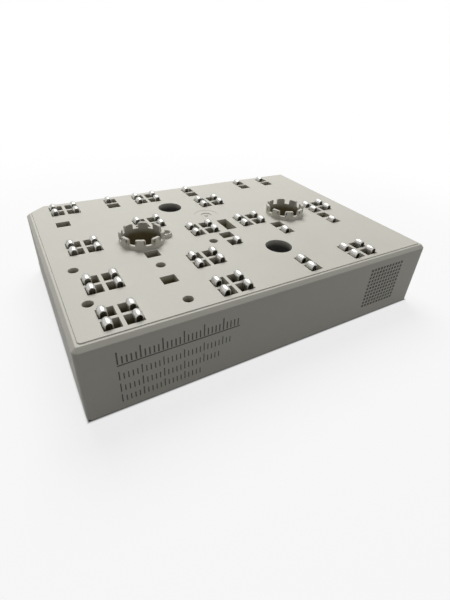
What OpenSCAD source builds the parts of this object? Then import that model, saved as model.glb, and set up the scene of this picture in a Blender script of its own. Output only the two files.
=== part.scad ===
// Spring-contact power module: a one-piece moulded housing over a ceramic circuit board.
// Origin at the middle of the mounting plane, +Z up towards the contact side,
// +X along the long side, +Y towards the back.

/* [Housing] */
// Length of the housing along X
housing_length = 82; // [80:0.5:100]
// Depth of the housing along Y
housing_depth = 59; // [58:0.5:74]
// Height of the contact plate above the mounting plane
plate_height = 16.5; // [14.5:0.1:20]
// Thickness of the outer walls
wall = 2; // [1.4:0.1:2.4]
// Thickness of the contact plate
plate_thickness = 2; // [1.4:0.1:3]
// Radius of the upright corners
corner_radius = 1; // [0.6:0.1:1.6]
// Size of the slanted edge round the top
edge_chamfer = 0.75; // [0.4:0.05:1.2]
// Width of the flat ledge inside the slanted edge
ledge_width = 0.45; // [0.2:0.05:0.8]
// Height of the raised plate above that ledge
ledge_drop = 0.2; // [0.1:0.05:0.5]
// Length cut off the corner that shows which way round the module goes
key_corner = 4; // [2.5:0.25:5]
// Gap between the housing's lower rim and the mounting plane
rim_gap = 0.3; // [0.1:0.05:0.3]

/* [Spring shafts] */
// Opening of a spring shaft along X
shaft_x = 3.05; // [2.8:0.05:3.2]
// Opening of a spring shaft along Y
shaft_y = 2.7; // [2.4:0.05:2.8]
// Distance between two shafts of a group along X
pitch_x = 3.8; // [3.7:0.05:4.2]
// Distance between two shafts of a group along Y
pitch_y = 3.4; // [3.3:0.05:3.7]
// Distance between the two shafts of a pair in the middle row
pair_pitch = 3.8; // [3.5:0.05:4.2]
// Wall round each block of shafts inside the housing
shaft_wall = 0.7; // [0.4:0.05:0.8]
// Height of the lower end of the shafts above the mounting plane
shaft_end = 3.6; // [3.4:0.1:5]

/* [Contact springs] */
// Width of the spring strip
strip_width = 1.95; // [1.5:0.05:2.2]
// Thickness of the spring strip
strip_thickness = 0.25; // [0.15:0.01:0.3]
// Outer radius of the round spring heads and feet
head_radius = 0.85; // [0.7:0.01:0.9]
// Height of the spring heads above the contact plate
head_rise = 1.25; // [0.9:0.05:1.6]
// Gap between a spring and the end wall of its shaft
spring_gap = 0.1; // [0.05:0.01:0.15]

/* [Screw holes] */
// Radius of the two screw holes
screw_radius = 3.05; // [2.2:0.05:3.4]
// Wall of the screw tubes
screw_wall = 1.3; // [0.8:0.1:1.6]
// Distance of the screw holes from the middle along X, with the drawn housing size
screw_x = 7; // [6.5:0.1:7.5]
// Distance of the screw holes from the middle along Y, with the drawn housing size
screw_y = 15.25; // [14.9:0.05:15.6]

/* [Guide crowns] */
// Distance of the crowns from the middle along X, with the drawn housing size
crown_x = 20; // [19.5:0.1:20.5]
// Outer radius of a crown
crown_radius = 5.05; // [4.6:0.05:5.2]
// Wall of a crown
crown_wall = 0.7; // [0.5:0.05:0.9]
// Height of the closed ring under the teeth
crown_ring = 0.95; // [0.6:0.05:1.4]
// Height of a crown above the contact plate
crown_height = 2.3; // [1.8:0.05:3]
// Number of teeth on a crown
crown_teeth = 8; // [6:1:10]
// Width of a tooth
tooth_width = 2.2; // [1.6:0.05:2.6]
// Radius of the upper corners of a tooth
tooth_round = 0.5; // [0.2:0.05:0.6]
// Depth of the blind bore in a crown, below the contact plate
crown_bore_depth = 9; // [6:0.5:10]

/* [Key loop] */
// Reach of the loop from the crown's wall
loop_reach = 2.1; // [1.8:0.1:2.6]
// Outer width of the loop
loop_width = 2.7; // [2.2:0.1:3.2]
// Wall of the loop
loop_wall = 0.42; // [0.3:0.02:0.6]
// Height of the loop above the contact plate
loop_height = 0.9; // [0.6:0.05:1.2]

/* [Small holes and marks] */
// Radius of the small vent holes
vent_radius = 1; // [0.7:0.05:1.2]
// Length of the shallow pocket in the middle along X
pocket_x = 2.65; // [2:0.05:3.2]
// Length of the shallow pocket in the middle along Y
pocket_y = 5.8; // [4:0.1:7]
// Depth of the shallow pocket
pocket_depth = 3; // [1.5:0.1:5]
// Radius of the moulding gate's dish
gate_radius = 3.1; // [2:0.1:3.6]
// Depth of the moulding gate's dish
gate_depth = 0.1; // [0.05:0.01:0.3]

/* [Circuit board] */
// Thickness of the ceramic plate
ceramic_thickness = 0.63; // [0.38:0.01:1]
// Thickness of the copper on each face
copper_thickness = 0.3; // [0.2:0.01:0.4]
// Gap between the ceramic plate and the housing round it
ceramic_gap = 0.15; // [0.05:0.01:0.3]
// Width of the shoulder that the ceramic plate is glued to
shoulder = 0.8; // [0.5:0.1:1]
// Bare margin between the copper and the edge of the ceramic
copper_margin = 1; // [0.6:0.1:1.2]
// Gap between a screw tube and the board round it
tube_gap = 0.35; // [0.2:0.05:0.5]
// Thickness of a chip with its solder
chip_thickness = 0.2; // [0.15:0.01:0.35]
// Side of a transistor chip
transistor_side = 6.2; // [5:0.1:6.4]
// Side of a freewheel diode chip
freewheel_side = 3.6; // [3:0.1:4]
// Side of a rectifier diode chip
rectifier_side = 3.5; // [2.8:0.1:3.7]
// Radius of a bond wire
wire_radius = 0.15; // [0.1:0.01:0.2]
// Gap between the soft gel and the lower ends of the shafts
gel_gap = 0.3; // [0.1:0.05:0.4]

/* [Hidden] */
$fn = 48;
little = 0.01;
over = 1;

// The layout is drawn for this housing, and spreads with a larger one
drawn_length = 82;
drawn_depth = 59;
function place(p) = [p[0] * housing_length / drawn_length, p[1] * housing_depth / drawn_depth];

// Middle of each block of four shafts
BLOCKS = [for (p = [
    [-32.2, 23.8], [-10.65, 23.8], [4.7, 15.05], [-32.2, 2], [-15.5, 8],
    [-4.9, 0], [8.7, 0], [31.4, 0], [-32.2, -13.35], [-10.65, -13.35],
    [-32.2, -24.2], [-10.65, -24.2], [22.75, -24.2],
]) place(p)];
// Spring shaft of each pair along the back edge; its empty partner lies in front of it
BACK_PAIRS = [for (x = [-20.2, 2.8, 20.85, 29.5]) place([x, 25.5])];
// Spring shaft of each pair in the middle row; the empty one is behind
MIDDLE_PAIRS = [for (x = [-1.1, 13.95, 29.5]) place([x, -9.2])];
// Side that the spring's head is on in each pair of the middle row
MIDDLE_SIDES = [1, -1, -1];
// Middle of the pair that holds two springs
TWIN = place([8.2, -24.2]);
// Shafts that hold no spring and stand alone
SPARE_SHAFTS = [for (p = [[-34.1, 15.2], [-20.15, -6.9], [-20.75, -17.6]]) place(p)];
// Small vent holes
VENTS = [for (p = [[-36.2, -6.9], [-36.2, -18.9], [-20.25, -11.9], [-20.2, -25], [-5.45, -6.9]])
    place(p)];
SCREW = place([-screw_x, screw_y]);
CROWN = place([-crown_x, 0]);
POCKET = place([1.85, -0.1]);
GATE = place([-0.15, 7.1]);

// Middle of each island that carries a transistor and its freewheel diode
SWITCHES = [for (p = [
    [-24.3, 13.5], [-24.3, 0], [-24.3, -13], [20.3, 14], [20.3, 1], [20.3, -12], [-3.4, -20.4],
]) place(p)];
RECTIFIERS = [for (i = [0:5]) place([-8.8 + 4.5 * i, 7.5])];
BUS = place([2.45, 3.8]);
bus_width = 0.9;
THERMISTOR = place([31.5, 11]);
thermistor_size = [1.6, 0.8, 0.5];
thermistor_pad = [1, 1.4];
thermistor_pad_x = 0.85;

gate_groove_radius = 1.4;
gate_groove_depth = 0.2;
gate_stub_radius = 0.45;
crown_floor = 1.2;
loop_hole_depth = 1.2;
pocket_wall = 0.8;
raised_corner = 0.6;
inner_corner = 0.8;

chip_margin = 0.6;
rectifier_margin = 0.25;
chip_spacing = 0.5;
strip_space = 0.4;
strip_copper = 0.8;
land_half = 1.2;
bond_pitch = 1.1;
bond_reach = 2.8;
bridge_inset = 0.9;

hook_length = 2.2;
upper_bend = 4.4;
lower_bend = 5.6;
foot_tip = 1.4;

wall_top = plate_height - ledge_drop;
ceramic_bottom = copper_thickness;
ceramic_top = ceramic_bottom + ceramic_thickness;
copper_top = ceramic_top + copper_thickness;
chip_top = copper_top + chip_thickness;
tube_radius = screw_radius + screw_wall;
gel_top = shaft_end - gel_gap;

cell_x = transistor_side + 2 * chip_margin;
cell_y = transistor_side + freewheel_side + chip_spacing + 2 * chip_margin;
transistor_offset = cell_y / 2 - chip_margin - transistor_side / 2;
freewheel_offset = -cell_y / 2 + chip_margin + freewheel_side / 2;
strip_offset = cell_x / 2 + strip_space + strip_copper / 2;
bridge_start = transistor_offset - transistor_side / 2 + bridge_inset;

mid_radius = head_radius - strip_thickness / 2;
head_x = -shaft_x / 2 + spring_gap + head_radius;
outer_leg_x = head_x - mid_radius;
inner_leg_x = head_x + mid_radius;
back_x = shaft_x / 2 - spring_gap - strip_thickness / 2;
bend_radius = (back_x - inner_leg_x) / 2;
head_z = plate_height + head_rise - head_radius;
foot_z = copper_top + head_radius;
upper_bend_z = head_z - upper_bend;
lower_bend_z = foot_z + lower_bend;

function number(i) = str(i < 9 ? "0" : "", i + 1);
BLOCK_NAMES = [for (i = [0:len(BLOCKS) - 1]) str("four_springs_", number(i))];
BACK_NAMES = [for (i = [0:len(BACK_PAIRS) - 1]) str("back_spring_", number(i))];
MIDDLE_NAMES = [for (i = [0:len(MIDDLE_PAIRS) - 1]) str("middle_spring_", number(i))];

housing_colour = [0.8, 0.79, 0.74];
spring_colour = [0.86, 0.87, 0.88];

// ---- outlines ----

module rounded_rectangle(length, width, radius) {
    square([length - 2 * radius, width], center = true);
    square([length, width - 2 * radius], center = true);
    for (sx = [-1, 1], sy = [-1, 1])
        translate([sx * (length / 2 - radius), sy * (width / 2 - radius)]) circle(radius);
}

// The housing's outline, moved inwards by inset, with its keyed back left corner
module plan(inset, radius) {
    length = housing_length - 2 * inset;
    width = housing_depth - 2 * inset;
    cut = key_cut(inset);
    difference() {
        rounded_rectangle(length, width, radius);
        translate([-length / 2, width / 2])
            rotate(45) square(cut * sqrt(2), center = true);
    }
}

function key_cut(inset) = key_corner - inset * (2 - sqrt(2));

// ---- housing ----

// The outer body: two crossed bars and four round corner posts, each with a slanted upper edge
module outer_body() {
    half_length = housing_length / 2 - corner_radius;
    half_width = housing_depth / 2 - corner_radius;
    slant_bottom = wall_top - edge_chamfer;
    rotate([90, 0, 90]) linear_extrude(2 * half_length, center = true)
        slanted_section(housing_depth / 2, slant_bottom);
    rotate([90, 0, 0]) linear_extrude(2 * half_width, center = true)
        slanted_section(housing_length / 2, slant_bottom);
    for (sx = [-1, 1], sy = [-1, 1])
        translate([sx * half_length, sy * half_width]) rotate_extrude() intersection() {
            slanted_section(corner_radius, slant_bottom);
            translate([0, rim_gap]) square([corner_radius, wall_top - rim_gap]);
        }
}

// Upright section of a bar from the rim to the slanted edge, half_width to each side
module slanted_section(half_width, slant_bottom) {
    narrow = half_width - edge_chamfer;
    polygon([[-half_width, rim_gap], [half_width, rim_gap], [half_width, slant_bottom],
             [narrow, wall_top], [-narrow, wall_top], [-half_width, slant_bottom]]);
}

// Cuts the keyed corner off the outer body, upright below and slanted along the top edge
module key_corner_cutter() {
    far = 2 * key_corner;
    slant_bottom = wall_top - edge_chamfer;
    translate([-housing_length / 2 + key_corner / 2, housing_depth / 2 - key_corner / 2])
        rotate([90, 0, 135]) linear_extrude(4 * key_corner, center = true)
            polygon([[0, 0], [0, slant_bottom], [-edge_chamfer - over, wall_top + over],
                     [far, wall_top + over], [far, 0]]);
}

module housing_shell() {
    raised_inset = edge_chamfer + ledge_width;
    difference() {
        union() {
            difference() {
                outer_body();
                key_corner_cutter();
            }
            translate([0, 0, wall_top]) linear_extrude(ledge_drop) plan(raised_inset, raised_corner);
        }
        translate([0, 0, ceramic_top - little])
            linear_extrude(plate_height - plate_thickness - ceramic_top + little) plan(wall, inner_corner);
        translate([0, 0, rim_gap - over])
            linear_extrude(ceramic_top - rim_gap + over) plan(wall - shoulder, inner_corner);
    }
}

// A tube that hangs under the contact plate
module hanging_tube(radius, bottom) {
    translate([0, 0, bottom])
        cylinder(h = plate_height - plate_thickness / 2 - bottom, r = radius);
}

module hanging_block(length, width, bottom) {
    height = plate_height - plate_thickness / 2 - bottom;
    translate([0, 0, bottom + height / 2]) cube([length, width, height], center = true);
}

// The walls round a grid of shafts, and the shafts themselves
module shaft_walls(columns, rows, step_y) {
    hanging_block((columns - 1) * pitch_x + shaft_x + 2 * shaft_wall,
                  (rows - 1) * step_y + shaft_y + 2 * shaft_wall, shaft_end);
}

module shaft_grid(columns, rows, step_y) {
    height = plate_height - shaft_end + 2 * over;
    for (i = [0:columns - 1], j = [0:rows - 1])
        translate([(i - (columns - 1) / 2) * pitch_x, (j - (rows - 1) / 2) * step_y,
                   shaft_end - over + height / 2])
            cube([shaft_x, shaft_y, height], center = true);
}

// Places child 0 on every block, child 1 on every pair along the back and on the twin,
// child 2 on every pair in the middle row and child 3 on every spare shaft
module at_shafts() {
    for (p = BLOCKS) translate(p) children(0);
    for (p = BACK_PAIRS) translate([p[0], p[1] - pitch_y / 2]) children(1);
    translate(TWIN) children(1);
    for (p = MIDDLE_PAIRS) translate([p[0], p[1] + pair_pitch / 2]) children(2);
    for (p = SPARE_SHAFTS) translate(p) children(3);
}

module at_screws() {
    for (s = [-1, 1]) translate([s * SCREW[0], s * SCREW[1]]) children();
}

module at_crowns() {
    for (s = [-1, 1]) translate([s * CROWN[0], 0]) children();
}

// A radial bar with round upper corners that shapes one tooth of a crown
module tooth_bar() {
    height = crown_height + plate_thickness / 2;
    start = crown_radius - crown_wall - over / 2;
    translate([start, 0, plate_height - plate_thickness / 2])
        rotate([90, 0, 90]) linear_extrude(crown_wall + 2 * over) {
            translate([-tooth_width / 2, 0]) square([tooth_width, height - tooth_round]);
            translate([-tooth_width / 2 + tooth_round, 0])
                square([tooth_width - 2 * tooth_round, height]);
            for (s = [-1, 1])
                translate([s * (tooth_width / 2 - tooth_round), height - tooth_round]) circle(tooth_round);
        }
}

module crown() {
    translate([0, 0, plate_height - plate_thickness / 2])
        cylinder(h = crown_ring + plate_thickness / 2, r = crown_radius);
    intersection() {
        translate([0, 0, plate_height - plate_thickness])
            cylinder(h = crown_height + plate_thickness + over, r = crown_radius);
        for (i = [0.5:1:crown_teeth]) rotate(i * 360 / crown_teeth) tooth_bar();
    }
}

module key_loop() {
    radius = loop_width / 2;
    centre_x = CROWN[0] + crown_radius + loop_reach - radius;
    translate([centre_x, 0, plate_height - plate_thickness / 2]) {
        cylinder(h = loop_height + plate_thickness / 2, r = radius);
        translate([-radius, -radius, 0]) cube([radius, loop_width, loop_height + plate_thickness / 2]);
    }
}

module key_loop_hole() {
    radius = loop_width / 2 - loop_wall;
    centre_x = CROWN[0] + crown_radius + loop_reach - loop_width / 2;
    translate([centre_x, 0, plate_height - loop_hole_depth])
        cylinder(h = loop_hole_depth + loop_height + over, r = radius);
}

module gate_mark() {
    translate([GATE[0], GATE[1], plate_height - gate_depth]) {
        cylinder(h = gate_depth + over, r = gate_radius);
        translate([0, 0, -gate_groove_depth])
            difference() {
                cylinder(h = gate_groove_depth + over, r = gate_groove_radius);
                translate([0, 0, -over]) cylinder(h = gate_groove_depth + over, r = gate_stub_radius);
            }
    }
}

module housing() {
    color(housing_colour) difference() {
        union() {
            housing_shell();
            at_shafts() {
                shaft_walls(2, 2, pitch_y);
                shaft_walls(1, 2, pitch_y);
                shaft_walls(1, 2, pair_pitch);
                shaft_walls(1, 1, pitch_y);
            }
            at_screws() hanging_tube(tube_radius, rim_gap);
            at_crowns() {
                hanging_tube(crown_radius, plate_height - crown_bore_depth - crown_floor);
                crown();
            }
            key_loop();
            translate(POCKET)
                hanging_block(pocket_x + 2 * pocket_wall, pocket_y + 2 * pocket_wall,
                              plate_height - pocket_depth - pocket_wall);
        }
        at_shafts() {
            shaft_grid(2, 2, pitch_y);
            shaft_grid(1, 2, pitch_y);
            shaft_grid(1, 2, pair_pitch);
            shaft_grid(1, 1, pitch_y);
        }
        at_screws() cylinder(h = plate_height + over, r = screw_radius);
        at_crowns() translate([0, 0, plate_height - crown_bore_depth])
            cylinder(h = crown_bore_depth + crown_height + over, r = crown_radius - crown_wall);
        for (p = VENTS) translate([p[0], p[1], plate_height - plate_thickness - over])
            cylinder(h = plate_thickness + 2 * over, r = vent_radius);
        translate([POCKET[0], POCKET[1], plate_height])
            cube([pocket_x, pocket_y, 2 * pocket_depth], center = true);
        key_loop_hole();
        gate_mark();
    }
}

// ---- springs ----

// One quarter of a bend in the strip, in the quadrant counted from +X+Y
module strip_quarter(x, z, radius, quadrant) {
    outer = radius + strip_thickness / 2;
    translate([x, z]) rotate(90 * quadrant) intersection() {
        difference() {
            circle(outer);
            circle(radius - strip_thickness / 2);
        }
        square(outer);
    }
}

module strip_bar(x, z0, z1) {
    translate([x - strip_thickness / 2, z0]) square([strip_thickness, z1 - z0]);
}

// A spring with its head towards -X: hook, bent middle and round foot, all one strip
module contact_spring() {
    color(spring_colour) rotate([90, 0, 0]) linear_extrude(strip_width, center = true) {
        strip_bar(outer_leg_x, head_z - hook_length, head_z);
        for (q = [0, 1]) strip_quarter(head_x, head_z, mid_radius, q);
        strip_bar(inner_leg_x, upper_bend_z, head_z);
        strip_quarter(inner_leg_x + bend_radius, upper_bend_z, bend_radius, 2);
        strip_quarter(back_x - bend_radius, upper_bend_z - 2 * bend_radius, bend_radius, 0);
        strip_bar(back_x, lower_bend_z, upper_bend_z - 2 * bend_radius);
        strip_quarter(back_x - bend_radius, lower_bend_z, bend_radius, 3);
        strip_quarter(inner_leg_x + bend_radius, lower_bend_z - 2 * bend_radius, bend_radius, 1);
        strip_bar(inner_leg_x, foot_z, lower_bend_z - 2 * bend_radius);
        for (q = [2, 3]) strip_quarter(head_x, foot_z, mid_radius, q);
        strip_bar(outer_leg_x, foot_z, foot_z + foot_tip);
    }
}

// side is -1 for a head towards -X and 1 for a head towards +X
module spring_facing(side) {
    mirror([side > 0 ? 1 : 0, 0, 0]) contact_spring();
}

module four_springs(place) {
    for (sx = [-1, 1], sy = [-1, 1])
        translate([place[0] + sx * pitch_x / 2, place[1] + sy * pitch_y / 2]) spring_facing(sx);
}

module twin_springs() {
    for (sy = [-1, 1]) translate([TWIN[0], TWIN[1] + sy * pitch_y / 2]) spring_facing(-1);
}

// ---- circuit board ----

module tube_holes(radius) {
    at_screws() translate([0, 0, -over]) cylinder(h = copper_top + 2 * over, r = radius);
}

module ceramic_plate() {
    color([0.93, 0.92, 0.88]) difference() {
        translate([0, 0, ceramic_bottom])
            linear_extrude(ceramic_thickness) plan(wall - shoulder + ceramic_gap, inner_corner);
        tube_holes(tube_radius + tube_gap);
    }
}

module heat_spreader() {
    color([0.8, 0.5, 0.35]) difference() {
        linear_extrude(copper_thickness)
            plan(wall - shoulder + ceramic_gap + copper_margin, inner_corner);
        tube_holes(tube_radius + tube_gap + copper_margin);
    }
}

module island(x, y, length, width) {
    translate([x, y, ceramic_top + copper_thickness / 2])
        cube([length, width, copper_thickness], center = true);
}

module circuit_copper() {
    land_x = 2 * land_half;
    color([0.82, 0.52, 0.36]) {
        for (p = BLOCKS) island(p[0], p[1], pitch_x + land_x, pitch_y + land_x);
        for (p = BACK_PAIRS) island(p[0], p[1], land_x, land_x);
        for (p = MIDDLE_PAIRS) island(p[0], p[1], land_x, land_x);
        island(TWIN[0], TWIN[1], land_x, pitch_y + land_x);
        for (p = SWITCHES) {
            island(p[0], p[1], cell_x, cell_y);
            island(p[0] + strip_offset, p[1], strip_copper, cell_y);
        }
        for (p = RECTIFIERS)
            island(p[0], p[1], rectifier_side + 2 * rectifier_margin, rectifier_side + 2 * chip_margin);
        island(BUS[0], BUS[1], RECTIFIERS[len(RECTIFIERS) - 1][0] - RECTIFIERS[0][0] + rectifier_side,
               bus_width);
        for (s = [-1, 1])
            island(THERMISTOR[0] + s * thermistor_pad_x, THERMISTOR[1],
                   thermistor_pad[0], thermistor_pad[1]);
    }
}

module chip(x, y, side) {
    translate([x, y, copper_top + chip_thickness / 2])
        cube([side, side, chip_thickness], center = true);
}

module transistor_chips() {
    color([0.35, 0.36, 0.4])
        for (p = SWITCHES) chip(p[0], p[1] + transistor_offset, transistor_side);
}

module freewheel_chips() {
    color([0.4, 0.4, 0.45])
        for (p = SWITCHES) chip(p[0], p[1] + freewheel_offset, freewheel_side);
}

module rectifier_chips() {
    color([0.42, 0.42, 0.46])
        for (p = RECTIFIERS) chip(p[0], p[1], rectifier_side);
}

// A half round bond wire along +X whose far foot reaches down to the copper
module bond_wire(reach, far_drop) {
    translate([reach / 2, 0, chip_top]) {
        rotate([90, 0, 0]) rotate_extrude(angle = 180) translate([reach / 2, 0]) circle(wire_radius);
        translate([reach / 2, 0, -far_drop]) cylinder(h = far_drop, r = wire_radius);
    }
}

module bond_wires() {
    color([0.85, 0.86, 0.86]) {
        for (p = SWITCHES) {
            for (i = [-1.5:1:1.5])
                translate([p[0] + strip_offset - bond_reach, p[1] + transistor_offset + i * bond_pitch])
                    bond_wire(bond_reach, chip_thickness);
            for (i = [-1, 0, 1])
                translate([p[0] + i * bond_pitch, p[1] + bridge_start])
                    rotate(-90) bond_wire(bond_reach, 0);
        }
        for (p = RECTIFIERS, s = [-1, 1])
            translate([p[0] + s * bond_pitch / 2, BUS[1] + bond_reach])
                rotate(-90) bond_wire(bond_reach, chip_thickness);
    }
}

module thermistor() {
    color([0.25, 0.25, 0.27])
        translate([THERMISTOR[0], THERMISTOR[1], copper_top + thermistor_size[2] / 2])
            cube(thermistor_size, center = true);
}

// ---- gel ----

module gel_well(x, y) {
    translate([x, y, ceramic_top + gel_top / 2]) cube([shaft_x, shaft_y, gel_top], center = true);
}

// The gel covers the board, its chips and wires; it leaves a well under each spring
module soft_gel() {
    depth = gel_top - ceramic_top;
    color([0.75, 0.8, 0.85, 0.5]) difference() {
        translate([0, 0, ceramic_top]) linear_extrude(depth) plan(wall, inner_corner);
        at_screws() cylinder(h = gel_top + over, r = tube_radius);
        circuit_copper();
        for (p = BLOCKS, sx = [-1, 1], sy = [-1, 1])
            gel_well(p[0] + sx * pitch_x / 2, p[1] + sy * pitch_y / 2);
        for (p = concat(BACK_PAIRS, MIDDLE_PAIRS)) gel_well(p[0], p[1]);
        for (sy = [-1, 1]) gel_well(TWIN[0], TWIN[1] + sy * pitch_y / 2);
        transistor_chips();
        freewheel_chips();
        rectifier_chips();
        bond_wires();
        thermistor();
    }
}

housing();
ceramic_plate();
heat_spreader();
circuit_copper();
transistor_chips();
freewheel_chips();
rectifier_chips();
bond_wires();
thermistor();
soft_gel();
twin_springs();
for (i = [0:len(BLOCKS) - 1])
    four_springs(BLOCKS[i]);
for (i = [0:len(BACK_PAIRS) - 1])
    translate(BACK_PAIRS[i]) spring_facing(-1);
for (i = [0:len(MIDDLE_PAIRS) - 1])
    translate(MIDDLE_PAIRS[i]) spring_facing(MIDDLE_SIDES[i]);
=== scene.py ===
"""Looks of a spring-contact power module: housing, springs, circuit board and studio."""

import math

import bmesh
import bpy
from bpy.props import FloatProperty, FloatVectorProperty, IntProperty, PointerProperty
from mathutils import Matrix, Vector


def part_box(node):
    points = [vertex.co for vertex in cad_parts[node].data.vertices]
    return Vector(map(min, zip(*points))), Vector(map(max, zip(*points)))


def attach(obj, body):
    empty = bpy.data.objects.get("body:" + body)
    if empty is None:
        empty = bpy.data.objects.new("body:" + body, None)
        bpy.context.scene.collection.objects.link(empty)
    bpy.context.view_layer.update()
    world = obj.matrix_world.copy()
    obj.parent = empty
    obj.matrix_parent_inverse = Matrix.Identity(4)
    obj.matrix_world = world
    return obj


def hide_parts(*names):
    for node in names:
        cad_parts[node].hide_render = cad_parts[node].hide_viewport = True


bl_info = {
    "name": "Power module dresser",
    "version": (1, 0, 0),
    "blender": (4, 5, 0),
    "location": "View3D > Sidebar > Power module",
    "description": "Dresses the power module's frame with finished pieces, materials and a studio",
    "category": "Object",
}

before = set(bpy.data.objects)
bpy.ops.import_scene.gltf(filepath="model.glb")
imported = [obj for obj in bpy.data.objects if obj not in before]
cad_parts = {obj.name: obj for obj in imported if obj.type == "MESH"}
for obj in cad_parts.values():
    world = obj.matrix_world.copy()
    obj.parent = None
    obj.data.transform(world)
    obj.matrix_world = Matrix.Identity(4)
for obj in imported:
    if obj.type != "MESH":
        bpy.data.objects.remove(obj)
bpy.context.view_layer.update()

MM = 0.001
BODY = "root"

HOUSING_LOW, HOUSING_HIGH = (Vector(corner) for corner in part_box("housing"))
PROBE_LOW, PROBE_HIGH = (Vector(corner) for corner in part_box("back_spring_01"))
PROBE_SIZE = PROBE_HIGH - PROBE_LOW
PLATE_TOP = 0.0165
SCREW_HOLES = ((-0.007, 0.01525), (0.007, -0.01525))
SCREW_REACH = 0.0034
CROWNS = ((-0.020, 0.0), (0.020, 0.0))
CROWN_REACH = 0.00445
CROWN_FOOT = 0.0012
POCKET = (0.00185, -0.0001)
POCKET_REACH = 0.0026
RIM_WIDTH = 0.002
# How far the housing reaches towards its keyed corner, less the rim
KEY_REACH = max(v.co.y - v.co.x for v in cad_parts["housing"].data.vertices) - math.sqrt(2) * RIM_WIDTH
SPRING_NODES = sorted(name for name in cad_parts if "spring" in name)


def millimetres(value):
    return value * MM


# The camera's place in metres, its turn in degrees, its lens in millimetres and its shifts
CAMERA_PLACE = (-0.042937, -0.074601, 0.056006)
CAMERA_TURN = (56.523, -3.176, -30.198)
CAMERA_LENS = 22.52
CAMERA_SHIFT = (-0.00885, -0.0272)
NEAREST = 0.001

# The middle of the scene and the places and sides of the lamps
MIDDLE = (0.0, 0.0, 0.01)
KEY_PLACE = (0.06, 0.26, 0.42)
KEY_SIDE = 0.34
FRONT_PLACE = (0.30, -0.42, 0.16)
FRONT_SIDE = 0.30

# Where the floor turns from shaded to white, how white it is near by, and its shade at the housing's foot
FLOOR_NEAR = 0.075
FLOOR_FAR = 0.16
FLOOR_WHITE = 0.78
FOOT_LINE = millimetres(0.3)
FOOT_SHADE = (0.2, 0.2, 0.2)
BOUNCE_SHADE = (0.22, 0.22, 0.22)

# The front marks: length and foot of the ruled scale, foot and height and strokes of each row
SCALE_LENGTH = millimetres(23.2)
SCALE_FOOT = millimetres(10.9)
SCALE_HEIGHT = millimetres(2.7)
STROKE_ROWS = ((7.35, 2.0, 28), (4.55, 2.0, 25), (2.0, 1.9, 20))
FIELD_INSET = millimetres(17.6)
FIELD_FOOT = millimetres(3.2)

MERGE_DISTANCE = millimetres(0.0005)
FLAT_ANGLE = math.radians(0.5)
ROUNDED_ANGLE = math.radians(32)
SMOOTH_ANGLE = math.radians(50)
PLASTIC_IOR = 1.46
TWO_ABREAST = 1.5
NEAR_ZERO = millimetres(0.1)


# ---- sizes and colours ----


def length(name, description, default):
    return FloatProperty(name=name, description=description, default=default, min=0.0, unit="LENGTH")


def colour(name, description, default):
    return FloatVectorProperty(
        name=name, description=description, default=default, size=3, min=0.0, max=1.0, subtype="COLOR"
    )


def share(name, description, default, high=1.0):
    return FloatProperty(
        name=name, description=description, default=default, min=0.0, max=high, subtype="FACTOR"
    )


def watts(name, description, default):
    return FloatProperty(name=name, description=description, default=default, min=0.0, unit="POWER")


class HousingLook(bpy.types.PropertyGroup):
    edge_round: length("Edge rounding", "Radius of the moulded edges", millimetres(0.08))
    grain_size: length("Grain size", "Width of one grain of the moulded surface", millimetres(0.35))
    grain_depth: length("Grain depth", "Depth of the moulded grain", millimetres(0.012))
    plastic: colour("Plastic", "Colour of the moulded housing", (0.612, 0.596, 0.528))
    plastic_shade: colour(
        "Plastic shade", "Colour of the darker clouds in the plastic", (0.575, 0.558, 0.488)
    )
    roughness: share("Roughness", "Roughness of the plastic", 0.56)
    # Painted shade: walls low in the shafts, crowns and pocket take this dark colour where shade falls.
    painted_deep_shade: colour("Deep plastic", "Colour of the walls deep in the shafts", (0.205, 0.17, 0.09))
    deep_from: length("Shade depth", "Depth below the plate at which the walls are darkest", millimetres(1.8))
    pocket_share: share("Pocket shade", "Share of the deep colour on the pocket's walls", 0.45)
    # Painted shade: the walls in the screw holes, below the plate, take this dark colour.
    painted_hole_shade: colour("Screw holes", "Colour of the walls in the screw holes", (0.11, 0.11, 0.105))


class MarkLook(bpy.types.PropertyGroup):
    depth: length("Depth", "Depth of the laser marks", millimetres(0.03))
    stroke: length("Stroke", "Width of a laser stroke", millimetres(0.26))
    pitch: length("Pitch", "Distance between two strokes", millimetres(0.78))
    left: length("Left inset", "Distance of the marks from the housing's left end", millimetres(6.1))
    dot_field: length("Dot field", "Side of the field of dots", millimetres(9.9))
    dot_count: IntProperty(
        name="Dots", description="Dots along one side of the field", default=11, min=2, max=30
    )
    dot_share: share("Dot share", "Width of a dot as a share of the pitch", 0.66)
    ink: colour("Mark", "Colour of the laser marks", (0.155, 0.148, 0.132))


class SpringLook(bpy.types.PropertyGroup):
    strip_width: length("Strip width", "Width of the spring strip", PROBE_SIZE.y)
    strip_thickness: length("Strip thickness", "Thickness of the spring strip", millimetres(0.25))
    edge_round: length("Edge rounding", "Radius of the strip's long edges", millimetres(0.1))
    head_radius: length("Head radius", "Outer radius of the heads and feet", millimetres(0.85))
    hook_length: length("Hook length", "Straight end of the hook under the head", millimetres(2.2))
    upper_bend: length("Upper bend", "Distance of the upper bend below the head's middle", millimetres(4.4))
    lower_bend: length("Lower bend", "Distance of the lower bend above the foot's middle", millimetres(5.6))
    foot_tip: length("Foot tip", "Straight end of the foot", millimetres(1.4))
    dome: length("Dome", "How far the edges of the head lie below its middle", millimetres(0.17))
    silver: colour("Silver", "Colour of the plated strip", (0.54, 0.535, 0.51))
    tarnish: colour("Tarnish", "Colour of the strip where the plating is dull", (0.24, 0.225, 0.185))
    roughness: share("Roughness", "Roughness of the plated strip", 0.24)


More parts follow.
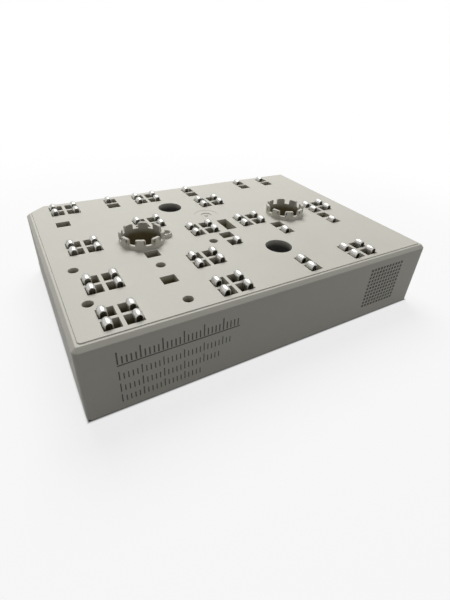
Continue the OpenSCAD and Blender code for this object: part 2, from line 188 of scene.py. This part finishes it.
class BoardLook(bpy.types.PropertyGroup):
    ceramic: colour("Ceramic", "Colour of the ceramic plate", (0.86, 0.85, 0.80))
    copper: colour("Copper", "Colour of the copper", (0.82, 0.46, 0.31))
    oxide: colour("Oxide", "Colour of the copper where it is oxidised", (0.55, 0.27, 0.17))
    silicon: colour("Silicon", "Colour of the chips", (0.16, 0.17, 0.20))
    aluminium: colour("Aluminium", "Colour of the bond wires", (0.84, 0.85, 0.86))
    thermistor: colour("Thermistor", "Colour of the thermistor's body", (0.05, 0.045, 0.045))
    gel: colour("Gel", "Colour of the soft gel", (0.42, 0.43, 0.38))


class StudioLook(bpy.types.PropertyGroup):
    floor_size: length("Floor size", "Side of the floor", 4.0)
    floor: colour("Floor", "Colour of the floor", (0.93, 0.93, 0.93))
    key_power: watts("Key lamp", "Power of the large lamp", 2.05)
    front_power: watts("Front lamp", "Power of the front lamp", 0.12)
    fill: share("Fill", "Strength of the sky that fills the shade", 0.2, high=2.0)


GROUPS = {
    "module_housing": HousingLook,
    "module_marks": MarkLook,
    "module_springs": SpringLook,
    "module_board": BoardLook,
    "module_studio": StudioLook,
}


# ---- node trees ----


class Wire:
    """An output socket. An expression on wires adds the Math nodes it needs."""

    def __init__(self, tree, socket):
        self.tree = tree
        self.socket = socket

    def maths(self, operation, *values):
        inputs = dict(enumerate(values))
        return self.tree.add("ShaderNodeMath", inputs, {"operation": operation})

    def output(self, name):
        return Wire(self.tree, self.socket.node.outputs[name])

    def __add__(self, other):
        return self.maths("ADD", self, other)

    def __radd__(self, other):
        return self.maths("ADD", other, self)

    def __sub__(self, other):
        return self.maths("SUBTRACT", self, other)

    def __rsub__(self, other):
        return self.maths("SUBTRACT", other, self)

    def __mul__(self, other):
        return self.maths("MULTIPLY", self, other)

    def __rmul__(self, other):
        return self.maths("MULTIPLY", other, self)

    def __truediv__(self, other):
        return self.maths("DIVIDE", self, other)

    def __gt__(self, other):
        return self.maths("GREATER_THAN", self, other)

    def between(self, low, high):
        """0 below low, 1 above high, smooth in between."""
        inputs = {"Value": self, "From Min": low, "From Max": high}
        return self.tree.add("ShaderNodeMapRange", inputs, {"interpolation_type": "SMOOTHSTEP"})


class Tree:
    """Adds nodes to a shader tree or a geometry tree."""

    def __init__(self, node_tree):
        self.node_tree = node_tree
        self.node_tree.nodes.clear()

    def add(self, kind, inputs=None, settings=None, output=0):
        """Adds one node: its settings first, then the values or wires of its inputs."""
        node = self.node_tree.nodes.new(kind)
        for name, value in (settings or {}).items():
            setattr(node, name, value)
        for name, value in (inputs or {}).items():
            if isinstance(value, Wire):
                self.node_tree.links.new(value.socket, node.inputs[name])
            else:
                node.inputs[name].default_value = value
        if len(node.outputs) == 0:
            return node
        return Wire(self, node.outputs[output])


def opaque(rgb):
    return (*rgb, 1.0)


class Finish(Tree):
    """A procedural material on Object coordinates, with one Principled shader."""

    def __init__(self, name):
        self.material = bpy.data.materials.new(name)
        self.material.use_nodes = True
        super().__init__(self.material.node_tree)
        self.place = self.add("ShaderNodeTexCoord", output="Object")

    def noise(self, size, detail=2.0, stretch=(1.0, 1.0, 1.0)):
        scale = tuple(1.0 / (size * part) for part in stretch)
        spot = self.add("ShaderNodeMapping", {"Vector": self.place, "Scale": scale})
        return self.add("ShaderNodeTexNoise", {"Vector": spot, "Scale": 1.0, "Detail": detail})

    def grains(self, size):
        spot = self.add("ShaderNodeMapping", {"Vector": self.place, "Scale": (1.0 / size,) * 3})
        return self.add("ShaderNodeTexVoronoi", {"Vector": spot, "Scale": 1.0}, {"feature": "SMOOTH_F1"})

    def mix(self, factor, first, second):
        """Colour first where factor is 0 and second where it is 1."""
        inputs = {0: factor, 6: first, 7: second}
        settings = {"data_type": "RGBA", "clamp_factor": True}
        return self.add("ShaderNodeMix", inputs, settings, output=2)

    def bump(self, height, depth):
        return self.add("ShaderNodeBump", {"Height": height, "Strength": 1.0, "Distance": depth})

    def shade(self, **sockets):
        """Ends the tree. Underscores in the names stand for spaces."""
        inputs = {name.replace("_", " "): value for name, value in sockets.items()}
        shader = self.add("ShaderNodeBsdfPrincipled", inputs)
        self.add("ShaderNodeOutputMaterial", {"Surface": shader})
        return self.material


# ---- materials ----


def near_places(finish, places, reach):
    """1 within reach of the upright axes at the places, and 0 elsewhere."""
    level = finish.add(
        "ShaderNodeVectorMath", {0: finish.place, 1: (1.0, 1.0, 0.0)}, {"operation": "MULTIPLY"}
    )
    near = 0.0
    for x, y in places:
        away = finish.add(
            "ShaderNodeVectorMath",
            {0: level, 1: (x, y, 0.0)},
            {"operation": "DISTANCE"},
            output="Value",
        )
        near = near + (reach - away > 0.0)
    return near


def deep_shade(finish, look):
    """Mask of the painted shade: 0 on the outside and 1 on walls far below the plate, inside the housing's
    rim.
    """
    spot = finish.add("ShaderNodeSeparateXYZ", {"Vector": finish.place})
    start = PLATE_TOP - millimetres(0.05) + near_places(finish, CROWNS, CROWN_REACH) * CROWN_FOOT
    low = 1.0 - spot.output("Z").between(start - look.deep_from, start)
    within_x = HOUSING_HIGH.x - RIM_WIDTH - spot.maths("ABSOLUTE", spot) > 0.0
    within_y = HOUSING_HIGH.y - RIM_WIDTH - spot.maths("ABSOLUTE", spot.output("Y")) > 0.0
    within_key = KEY_REACH - (spot.output("Y") - spot) > 0.0
    pocket = near_places(finish, (POCKET,), POCKET_REACH)
    return low * within_x * within_y * within_key * (1.0 - pocket * (1.0 - look.pocket_share))


def plastic_material(look):
    finish = Finish("moulded_plastic")
    clouds = finish.noise(millimetres(9), detail=3).between(0.35, 0.68)
    specks = finish.noise(look.grain_size, detail=1).between(0.56, 0.74)
    tone = finish.mix(clouds * 0.55, opaque(look.plastic), opaque(look.plastic_shade))
    speckled = finish.mix(specks * 0.35, tone, opaque(look.plastic_shade))
    grain = finish.noise(look.grain_size, detail=2) + finish.noise(look.grain_size * 6, detail=1) * 0.5
    # Painted shade: the walls low inside the housing are coloured dark, and darker still in the screw holes.
    painted_deep_shade = deep_shade(finish, look)
    walls = finish.mix(near_places(finish, SCREW_HOLES, SCREW_REACH), opaque(look.painted_deep_shade), opaque(look.painted_hole_shade))
    return finish.shade(
        Base_Color=finish.mix(painted_deep_shade, speckled, walls),
        Roughness=look.roughness - clouds * 0.05 + specks * 0.06,
        Normal=finish.bump(grain, look.grain_depth),
        IOR=PLASTIC_IOR,
    )


def mark_material(look):
    finish = Finish("laser_mark")
    char = finish.noise(millimetres(0.12), detail=1)
    burnt = finish.mix(char, opaque(look.ink), opaque(tuple(0.7 * part for part in look.ink)))
    return finish.shade(
        Base_Color=burnt,
        Roughness=0.78 - char * 0.08,
        Normal=finish.bump(char, millimetres(0.008)),
        IOR=PLASTIC_IOR,
    )


def silver_material(look):
    finish = Finish("plated_strip")
    dull = finish.noise(millimetres(1.4), detail=3).between(0.45, 0.75)
    brushed = finish.noise(millimetres(0.06), detail=2, stretch=(1.0, 1.0, 14.0))
    plated = finish.mix(dull * 0.6, opaque(look.silver), opaque(look.tarnish))
    return finish.shade(
        Base_Color=plated,
        Metallic=1.0,
        Roughness=look.roughness + dull * 0.12 + brushed * 0.05,
        Normal=finish.bump(brushed, millimetres(0.0012)),
    )


def ceramic_material(look):
    finish = Finish("white_ceramic")
    fired = finish.noise(millimetres(0.08), detail=2)
    cloud = finish.noise(millimetres(6), detail=2)
    darker = tuple(0.93 * part for part in look.ceramic)
    return finish.shade(
        Base_Color=finish.mix(cloud, opaque(look.ceramic), opaque(darker)),
        Roughness=0.42 + fired * 0.15,
        Normal=finish.bump(fired, millimetres(0.004)),
        IOR=1.7,
    )


def copper_material(look):
    finish = Finish("bonded_copper")
    cloud = finish.noise(millimetres(5), detail=4).between(0.4, 0.75)
    crystal = finish.grains(millimetres(0.5))
    tone = finish.mix(cloud * 0.5, opaque(look.copper), opaque(look.oxide))
    return finish.shade(
        Base_Color=tone,
        Metallic=1.0,
        Roughness=0.34 + cloud * 0.14,
        Normal=finish.bump(crystal, millimetres(0.004)),
    )


def silicon_material(look):
    finish = Finish("chip_face")
    sheen = finish.noise(millimetres(2), detail=1)
    cells = finish.grains(millimetres(0.12))
    bright = tuple(1.6 * part for part in look.silicon)
    return finish.shade(
        Base_Color=finish.mix(sheen, opaque(look.silicon), opaque(bright)),
        Metallic=0.6,
        Roughness=0.2 + cells * 0.1,
        Normal=finish.bump(cells, millimetres(0.001)),
    )


def aluminium_material(look):
    finish = Finish("drawn_wire")
    drawn = finish.noise(millimetres(0.05), detail=2, stretch=(1.0, 1.0, 6.0))
    worn = tuple(0.8 * part for part in look.aluminium)
    return finish.shade(
        Base_Color=finish.mix(drawn, opaque(look.aluminium), opaque(worn)),
        Metallic=1.0,
        Roughness=0.28 + drawn * 0.12,
        Normal=finish.bump(drawn, millimetres(0.001)),
    )


def thermistor_material(look):
    finish = Finish("thermistor_body")
    grit = finish.noise(millimetres(0.06), detail=2)
    lighter = tuple(2.2 * part for part in look.thermistor)
    return finish.shade(
        Base_Color=finish.mix(grit, opaque(look.thermistor), opaque(lighter)),
        Roughness=0.5 + grit * 0.15,
        Normal=finish.bump(grit, millimetres(0.003)),
    )


def gel_material(look):
    finish = Finish("soft_gel")
    ripple = finish.noise(millimetres(1.8), detail=1)
    paler = tuple(min(1.0, 1.08 * part) for part in look.gel)
    return finish.shade(
        Base_Color=finish.mix(ripple, opaque(look.gel), opaque(paler)),
        Roughness=0.12 + ripple * 0.06,
        Normal=finish.bump(ripple, millimetres(0.02)),
        Transmission_Weight=0.55,
        IOR=1.41,
    )


# ---- pieces ----


def new_object(name, mesh):
    piece = bpy.data.objects.new(name, mesh)
    bpy.context.scene.collection.objects.link(piece)
    return piece


def set_inputs(modifier, values):
    """Sets a Geometry Nodes modifier's inputs, named as in its tree's interface."""
    for item in modifier.node_group.interface.items_tree:
        if item.item_type == "SOCKET" and item.in_out == "INPUT" and item.name in values:
            modifier[item.identifier] = values[item.name]


def made_mesh(piece, name):
    """The finished mesh of a piece with its modifiers in it."""
    bpy.context.view_layer.update()
    evaluated = piece.evaluated_get(bpy.context.evaluated_depsgraph_get())
    mesh = bpy.data.meshes.new_from_object(evaluated)
    mesh.name = name
    return mesh


def finish_piece(piece, slot, *nodes):
    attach(piece, BODY)
    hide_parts(*nodes)


def merged_copy(node, name):
    """A copy of a CAD node with its loose triangles merged into flat faces."""
    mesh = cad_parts[node].data.copy()
    mesh.name = name
    form = bmesh.new()
    form.from_mesh(mesh)
    bmesh.ops.remove_doubles(form, verts=form.verts, dist=MERGE_DISTANCE)
    bmesh.ops.dissolve_limit(
        form, angle_limit=FLAT_ANGLE, use_dissolve_boundaries=False, verts=form.verts, edges=form.edges
    )
    form.to_mesh(mesh)
    form.free()
    mesh.materials.clear()
    return mesh


# ---- marks ----


def stroke_tree(name):
    """A row of upright strokes; every fifth one is taller by the long share."""
    group = bpy.data.node_groups.new(name, "GeometryNodeTree")
    sockets = [
        ("Start", "NodeSocketVector"),
        ("Step", "NodeSocketVector"),
        ("Count", "NodeSocketInt"),
        ("Stroke", "NodeSocketVector"),
        ("Short Share", "NodeSocketFloat"),
        ("Material", "NodeSocketMaterial"),
    ]
    group.interface.new_socket("Geometry", in_out="INPUT", socket_type="NodeSocketGeometry")
    for label, kind in sockets:
        group.interface.new_socket(label, in_out="INPUT", socket_type=kind)
    group.interface.new_socket("Geometry", in_out="OUTPUT", socket_type="NodeSocketGeometry")
    tree = Tree(group)
    given = tree.add("NodeGroupInput")
    line = tree.add(
        "GeometryNodeMeshLine",
        {
            "Count": given.output("Count"),
            "Start Location": given.output("Start"),
            "Offset": given.output("Step"),
        },
    )
    index = tree.add("GeometryNodeInputIndex")
    is_long = 1.0 - (index.maths("MODULO", index, 5.0) > 0.5)
    height = given.output("Short Share") + is_long * (1.0 - given.output("Short Share"))
    scale = tree.add("ShaderNodeCombineXYZ", {"X": 1.0, "Y": 1.0, "Z": height})
    block = tree.add("GeometryNodeMeshCube", {"Size": given.output("Stroke")})
    lifted = tree.add(
        "GeometryNodeTransform",
        {
            "Geometry": block,
            "Translation": tree.add(
                "ShaderNodeVectorMath",
                {0: given.output("Stroke"), 1: (0.0, 0.0, 0.5)},
                {"operation": "MULTIPLY"},
            ),
        },
    )
    strokes = tree.add("GeometryNodeInstanceOnPoints", {"Points": line, "Instance": lifted, "Scale": scale})
    solid = tree.add("GeometryNodeRealizeInstances", {"Geometry": strokes})
    inked = tree.add("GeometryNodeSetMaterial", {"Geometry": solid, "Material": given.output("Material")})
    tree.add("NodeGroupOutput", {"Geometry": inked})
    return group


class MarkCutter:
    """Collects the marks on the front face as one mesh of small blocks."""

    def __init__(self, look, ink):
        self.look = look
        self.ink = ink
        self.form = bmesh.new()
        self.tree = stroke_tree("laser_strokes")
        self.face = HOUSING_LOW.y
        self.thick = 2 * look.depth

    def strokes(self, x, z, width, height, step, count, short_share=1.0):
        mesh = bpy.data.meshes.new("strokes")
        carrier = new_object("strokes", mesh)
        modifier = carrier.modifiers.new("strokes", "NODES")
        modifier.node_group = self.tree
        set_inputs(
            modifier,
            {
                "Start": (x, self.face, z),
                "Step": (step, 0.0, 0.0),
                "Count": count,
                "Stroke": (width, self.thick, height),
                "Short Share": short_share,
                "Material": self.ink,
            },
        )
        made = made_mesh(carrier, "strokes")
        carrier.modifiers.remove(modifier)
        self.form.from_mesh(made)
        bpy.data.objects.remove(carrier)
        bpy.data.meshes.remove(made)

    def cutter(self):
        mesh = bpy.data.meshes.new("mark_cutter")
        bmesh.ops.recalc_face_normals(self.form, faces=self.form.faces)
        self.form.to_mesh(mesh)
        self.form.free()
        mesh.materials.append(self.ink)
        return new_object("mark_cutter", mesh)


def front_marks(look, ink):
    """A ruled scale over three rows of plain strokes, and a square field of even dots."""
    marks = MarkCutter(look, ink)
    left = HOUSING_LOW.x + look.left
    first = left + look.stroke / 2
    marks.strokes(
        left + SCALE_LENGTH / 2, SCALE_FOOT - look.stroke * 1.6, SCALE_LENGTH, look.stroke, 0.0, 1
    )
    count = int(SCALE_LENGTH / look.pitch) + 1
    marks.strokes(first, SCALE_FOOT, look.stroke, SCALE_HEIGHT, look.pitch, count, 0.6)
    for foot, height, strokes in STROKE_ROWS:
        marks.strokes(
            first,
            millimetres(foot),
            look.stroke * 0.8,
            millimetres(height),
            look.pitch,
            strokes,
            0.7,
        )
    field_left = HOUSING_HIGH.x - FIELD_INSET
    pitch = look.dot_field / (look.dot_count - 1)
    dot = pitch * look.dot_share
    for row in range(look.dot_count):
        marks.strokes(field_left, FIELD_FOOT + row * pitch, dot, dot, pitch, look.dot_count)
    return marks.cutter()


# ---- housing ----


def housing_piece(look, marks, ink):
    mesh = merged_copy("housing", "housing_shape")
    mesh.materials.append(plastic_material(look))
    rough = new_object("housing_rough", mesh)
    rounding = rough.modifiers.new("edge_round", "BEVEL")
    rounding.width = look.edge_round
    rounding.segments = 2
    rounding.limit_method = "ANGLE"
    rounding.angle_limit = ROUNDED_ANGLE
    rounding.use_clamp_overlap = False
    rounding.miter_outer = "MITER_SHARP"
    cutter = front_marks(marks, ink)
    engraving = rough.modifiers.new("laser_marks", "BOOLEAN")
    engraving.operation = "DIFFERENCE"
    engraving.solver = "EXACT"
    engraving.material_mode = "TRANSFER"
    engraving.object = cutter
    mesh = made_mesh(rough, "moulded_housing")
    keep_inside(mesh, HOUSING_LOW, HOUSING_HIGH)
    finished = new_object("moulded_housing", mesh)
    bpy.data.objects.remove(rough)
    bpy.data.objects.remove(cutter)
    smooth_form(finished)
    return finished


def keep_inside(mesh, low, high):
    """Brings points that a rounding pushed past the CAD box back onto it."""
    for vertex in mesh.vertices:
        vertex.co = [min(max(part, least), most) for part, least, most in zip(vertex.co, low, high)]


def smooth_form(piece):
    """Smooth shading with sharp edges kept, and flat faces kept flat."""
    mesh = piece.data
    mesh.shade_smooth()
    mesh.set_sharp_from_angle(angle=SMOOTH_ANGLE)
    weighted = piece.modifiers.new("even_shading", "WEIGHTED_NORMAL")
    weighted.keep_sharp = True
    weighted.weight = 100


# ---- springs ----


def spring_path(look):
    """The corners of a spring's centre line in its X-Z plane and the bend radius at each."""
    half = look.strip_thickness / 2
    low = PROBE_LOW.z
    high = PROBE_HIGH.z
    outer = -PROBE_SIZE.x / 2 + half
    head_bend = look.head_radius - half
    inner = outer + 2 * head_bend
    back = PROBE_SIZE.x / 2 - half
    bend = (back - inner) / 2
    head = high - look.head_radius
    foot = low + look.head_radius
    upper = head - look.upper_bend - bend
    lower = foot + look.lower_bend - bend
    return [
        (outer, head - look.hook_length, 0.0),
        (outer, high - half, head_bend),
        (inner, high - half, head_bend),
        (inner, upper, bend),
        (back, upper, bend),
        (back, lower, bend),
        (inner, lower, bend),
        (inner, low + half, head_bend),
        (outer, low + half, head_bend),
        (outer, foot + look.foot_tip, 0.0),
    ]


def head_middle(look):
    """The middle of the head's bend."""
    return (look.head_radius - PROBE_SIZE.x / 2, 0.0, PROBE_HIGH.z - look.head_radius)


def domed(tree, strip, given):
    """Draws the edges of the strip's head in towards the head's middle."""
    point = tree.add("GeometryNodeInputPosition")
    head = given.output("Head")
    from_head = tree.add("ShaderNodeVectorMath", {0: point, 1: head}, {"operation": "SUBTRACT"})
    radial = tree.add("ShaderNodeVectorMath", {0: from_head, 1: (1.0, 0.0, 1.0)}, {"operation": "MULTIPLY"})
    spot = tree.add("ShaderNodeSeparateXYZ", {"Vector": from_head})
    aside = spot.output("Y") * 2.0 / given.output("Strip Width")
    above = spot.output("Z").between(millimetres(-1.2), millimetres(0.2))
    drawn = aside * aside * above * given.output("Dome") * -1.0
    offset = tree.add("ShaderNodeVectorMath", {0: radial, "Scale": drawn}, {"operation": "SCALE"})
    return tree.add("GeometryNodeSetPosition", {"Geometry": strip, "Offset": offset})


def spring_tree(name):
    """Bends a strip along the path it is given and sets it out in columns and rows."""
    group = bpy.data.node_groups.new(name, "GeometryNodeTree")
    sockets = [
        ("Strip Width", "NodeSocketFloat"),
        ("Strip Thickness", "NodeSocketFloat"),
        ("Edge Round", "NodeSocketFloat"),
        ("Head", "NodeSocketVector"),
        ("Dome", "NodeSocketFloat"),
        ("Columns", "NodeSocketInt"),
        ("Rows", "NodeSocketInt"),
        ("Spread X", "NodeSocketFloat"),
        ("Spread Y", "NodeSocketFloat"),
        ("Place", "NodeSocketVector"),
        ("Turn", "NodeSocketFloat"),
        ("Material", "NodeSocketMaterial"),
    ]
    group.interface.new_socket("Geometry", in_out="INPUT", socket_type="NodeSocketGeometry")
    for label, kind in sockets:
        group.interface.new_socket(label, in_out="INPUT", socket_type=kind)
    group.interface.new_socket("Geometry", in_out="OUTPUT", socket_type="NodeSocketGeometry")
    tree = Tree(group)
    given = tree.add("NodeGroupInput")
    bend = tree.add("GeometryNodeInputNamedAttribute", {"Name": "bend"}, {"data_type": "FLOAT"})
    line = tree.add("GeometryNodeMeshToCurve", {"Mesh": given})
    bent = tree.add("GeometryNodeFilletCurve", {"Curve": line, "Radius": bend, "Count": 7}, {"mode": "POLY"})
    across = tree.add(
        "GeometryNodeSetCurveNormal", {"Curve": bent, "Normal": (0.0, 1.0, 0.0)}, {"mode": "FREE"}
    )
    section = tree.add(
        "GeometryNodeCurvePrimitiveQuadrilateral",
        {"Width": given.output("Strip Width"), "Height": given.output("Strip Thickness")},
    )
    rounded = tree.add(
        "GeometryNodeFilletCurve",
        {"Curve": section, "Radius": given.output("Edge Round"), "Count": 3},
        {"mode": "POLY"},
    )
    divided = tree.add("GeometryNodeSubdivideCurve", {"Curve": rounded, "Cuts": 3})
    flat = tree.add("GeometryNodeCurveToMesh", {"Curve": across, "Profile Curve": divided, "Fill Caps": True})
    strip = domed(tree, flat, given)
    grid = tree.add(
        "GeometryNodeMeshGrid",
        {
            "Size X": given.output("Spread X"),
            "Size Y": given.output("Spread Y"),
            "Vertices X": given.output("Columns"),
            "Vertices Y": given.output("Rows"),
        },
    )
    column = tree.add("ShaderNodeSeparateXYZ", {"Vector": tree.add("GeometryNodeInputPosition")})
    turn = given.output("Turn") + (column > NEAR_ZERO) * math.pi
    facing = tree.add("ShaderNodeCombineXYZ", {"Z": turn})
    springs = tree.add(
        "GeometryNodeInstanceOnPoints", {"Points": grid, "Instance": strip, "Rotation": facing}
    )
    placed = tree.add("GeometryNodeTransform", {"Geometry": springs, "Translation": given.output("Place")})
    solid = tree.add("GeometryNodeRealizeInstances", {"Geometry": placed})
    plated = tree.add("GeometryNodeSetMaterial", {"Geometry": solid, "Material": given.output("Material")})
    tree.add("NodeGroupOutput", {"Geometry": plated})
    return group


def path_mesh(look):
    corners = spring_path(look)
    mesh = bpy.data.meshes.new("spring_path")
    steps = [(index, index + 1) for index in range(len(corners) - 1)]
    mesh.from_pydata([(x, 0.0, z) for x, z, _ in corners], steps, [])
    bend = mesh.attributes.new("bend", "FLOAT", "POINT")
    bend.data.foreach_set("value", [radius for _, _, radius in corners])
    return mesh


def spring_layout(node):
    """Columns, rows, spread, place and turn of the springs in one CAD node, from its box."""
    low, high = (Vector(corner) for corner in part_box(node))
    size = high - low
    columns = 2 if size.x > TWO_ABREAST * PROBE_SIZE.x else 1
    rows = 2 if size.y > TWO_ABREAST * PROBE_SIZE.y else 1
    middle = (low + high) / 2
    turn = 0.0
    if columns == 1:
        tops = [v.co.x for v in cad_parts[node].data.vertices if v.co.z > high.z - NEAR_ZERO]
        turn = math.pi if sum(tops) / len(tops) > middle.x else 0.0
    return {
        "Columns": columns,
        "Rows": rows,
        "Spread X": (size.x - PROBE_SIZE.x) if columns == 2 else 0.0,
        "Spread Y": (size.y - PROBE_SIZE.y) if rows == 2 else 0.0,
        "Place": (middle.x, middle.y, 0.0),
        "Turn": turn,
    }


def spring_piece(node, look, tree, material):
    carrier = new_object(f"{node}_path", path_mesh(look))
    modifier = carrier.modifiers.new("springs", "NODES")
    modifier.node_group = tree
    values = {
        "Strip Width": look.strip_width,
        "Strip Thickness": look.strip_thickness,
        "Edge Round": look.edge_round,
        "Head": head_middle(look),
        "Dome": look.dome / look.head_radius,
        "Material": material,
    }
    set_inputs(modifier, values | spring_layout(node))
    mesh = made_mesh(carrier, f"{node}_plated")
    carrier.modifiers.remove(modifier)
    bpy.data.objects.remove(carrier)
    form = bmesh.new()
    form.from_mesh(mesh)
    bmesh.ops.recalc_face_normals(form, faces=form.faces)
    form.to_mesh(mesh)
    form.free()
    piece = new_object(f"{node}_plated", mesh)
    smooth_form(piece)
    return piece


# ---- operators ----


class DressHousing(bpy.types.Operator):
    """Rounds the housing's edges, engraves the plain marks and gives it the moulded finish"""

    bl_idname = "module.dress_housing"
    bl_label = "Dress the housing"

    def execute(self, context):
        scene = context.scene
        ink = mark_material(scene.module_marks)
        piece = housing_piece(scene.module_housing, scene.module_marks, ink)
        finish_piece(piece, "housing_plastic", "housing")
        return {"FINISHED"}


class DressSprings(bpy.types.Operator):
    """Makes the plated contact springs, one piece for each group"""

    bl_idname = "module.dress_springs"
    bl_label = "Dress the springs"

    def execute(self, context):
        look = context.scene.module_springs
        tree = spring_tree("contact_springs")
        material = silver_material(look)
        for node in SPRING_NODES:
            finish_piece(spring_piece(node, look, tree, material), "spring_silver", node)
        return {"FINISHED"}


class DressBoard(bpy.types.Operator):
    """Gives the circuit board, its chips, wires and gel their materials"""

    bl_idname = "module.dress_board"
    bl_label = "Dress the board"

    def execute(self, context):
        look = context.scene.module_board
        copper = copper_material(look)
        silicon = silicon_material(look)
        finishes = {
            "ceramic_plate": ceramic_material(look),
            "heat_spreader": copper,
            "circuit_copper": copper,
            "transistor_chips": silicon,
            "freewheel_chips": silicon,
            "rectifier_chips": silicon,
            "bond_wires": aluminium_material(look),
            "thermistor": thermistor_material(look),
            "soft_gel": gel_material(look),
        }
        for node, material in finishes.items():
            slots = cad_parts[node].material_slots
            for slot in slots:
                slot.material = material
        return {"FINISHED"}


def seen_directly(tree):
    """1 for camera rays and for rays that reflections and glass send on."""
    path = tree.add("ShaderNodeLightPath", output="Is Camera Ray")
    seen = path.maths("MAXIMUM", path, path.output("Is Glossy Ray"))
    return seen.maths("MAXIMUM", seen, path.output("Is Transmission Ray"))


def floor_material(look):
    finish = Finish("pale_floor")
    distance = finish.add("ShaderNodeVectorMath", {0: finish.place}, {"operation": "LENGTH"}, output="Value")
    far = distance.between(FLOOR_NEAR, FLOOR_FAR)
    speck = finish.noise(0.004, detail=2)
    pale = finish.mix(speck, opaque(look.floor), opaque(tuple(0.99 * part for part in look.floor)))
    spot = finish.add("ShaderNodeSeparateXYZ", {"Vector": finish.place})
    beside_x = spot.maths("ABSOLUTE", spot) - HOUSING_HIGH.x
    beside_y = spot.maths("ABSOLUTE", spot.output("Y")) - HOUSING_HIGH.y
    clear = beside_x.maths("MAXIMUM", beside_x, beside_y).between(-FOOT_LINE, FOOT_LINE)
    near = finish.add("ShaderNodeBsdfDiffuse", {"Color": finish.mix(clear, opaque(FOOT_SHADE), pale)})
    white = finish.add("ShaderNodeEmission", {"Color": (1.0, 1.0, 1.0, 1.0), "Strength": 1.0})
    whiteness = clear * (FLOOR_WHITE + far * (1.0 - FLOOR_WHITE))
    lit = finish.add("ShaderNodeMixShader", {0: whiteness, 1: near, 2: white})
    bounce = finish.add("ShaderNodeBsdfDiffuse", {"Color": opaque(BOUNCE_SHADE)})
    shown = finish.add("ShaderNodeMixShader", {0: seen_directly(finish), 1: bounce, 2: lit})
    finish.add("ShaderNodeOutputMaterial", {"Surface": shown})
    return finish.material


def white_world(fill):
    world = bpy.data.worlds.new("studio_sky")
    world.use_nodes = True
    tree = Tree(world.node_tree)
    soft = tree.add("ShaderNodeBackground", {"Color": (1.0, 1.0, 1.0, 1.0), "Strength": fill})
    white = tree.add("ShaderNodeBackground", {"Color": (1.0, 1.0, 1.0, 1.0), "Strength": 1.0})
    shown = tree.add("ShaderNodeMixShader", {0: seen_directly(tree), 1: soft, 2: white})
    tree.add("ShaderNodeOutputWorld", {"Surface": shown})
    return world


def lamp(name, place, aim, side, power):
    data = bpy.data.lights.new(name, "AREA")
    data.shape = "SQUARE"
    data.size = side
    data.energy = power
    piece = bpy.data.objects.new(name, data)
    piece.location = place
    piece.rotation_euler = (Vector(aim) - Vector(place)).to_track_quat("-Z", "Y").to_euler()
    bpy.context.scene.collection.objects.link(piece)


def add_camera():
    data = bpy.data.cameras.new("camera")
    data.lens = CAMERA_LENS
    data.shift_x, data.shift_y = CAMERA_SHIFT
    data.clip_start = NEAREST
    camera = bpy.data.objects.new("camera", data)
    camera.location = CAMERA_PLACE
    camera.rotation_euler = [math.radians(angle) for angle in CAMERA_TURN]
    bpy.context.scene.collection.objects.link(camera)
    bpy.context.scene.camera = camera


class BuildStudio(bpy.types.Operator):
    """Adds the camera, the lamps, the pale floor and the white surroundings"""

    bl_idname = "module.build_studio"
    bl_label = "Build the studio"

    def execute(self, context):
        look = context.scene.module_studio
        add_camera()
        lamp("key_lamp", KEY_PLACE, MIDDLE, KEY_SIDE, look.key_power)
        lamp("front_lamp", FRONT_PLACE, MIDDLE, FRONT_SIDE, look.front_power)
        half = look.floor_size / 2
        mesh = bpy.data.meshes.new("floor")
        corners = [(-half, -half, 0.0), (half, -half, 0.0), (half, half, 0.0), (-half, half, 0.0)]
        mesh.from_pydata(corners, [], [(0, 1, 2, 3)])
        mesh.materials.append(floor_material(look))
        new_object("floor", mesh)
        context.scene.world = white_world(look.fill)
        context.scene.view_settings.view_transform = "Standard"
        return {"FINISHED"}


class ModulePanel(bpy.types.Panel):
    """Sizes, colours and building steps of the power module"""

    bl_idname = "VIEW3D_PT_power_module"
    bl_label = "Power module"
    bl_space_type = "VIEW_3D"
    bl_region_type = "UI"
    bl_category = "Power module"

    def draw(self, context):
        for group_name in GROUPS:
            box = self.layout.box()
            group = getattr(context.scene, group_name)
            for field in group.bl_rna.properties:
                if not field.is_readonly and field.identifier != "name":
                    box.prop(group, field.identifier)
        for step in STEPS:
            self.layout.operator(step.bl_idname)


STEPS = (BuildStudio, DressHousing, DressSprings, DressBoard)


def register():
    for group_name, group in GROUPS.items():
        bpy.utils.register_class(group)
        setattr(bpy.types.Scene, group_name, PointerProperty(type=group))
    for step in STEPS:
        bpy.utils.register_class(step)
    bpy.utils.register_class(ModulePanel)


def unregister():
    bpy.utils.unregister_class(ModulePanel)
    for step in reversed(STEPS):
        bpy.utils.unregister_class(step)
    for group_name, group in GROUPS.items():
        delattr(bpy.types.Scene, group_name)
        bpy.utils.unregister_class(group)


def main():
    register()
    bpy.ops.module.build_studio()
    bpy.ops.module.dress_housing()
    bpy.ops.module.dress_springs()
    bpy.ops.module.dress_board()


if __name__ == "__main__":
    main()
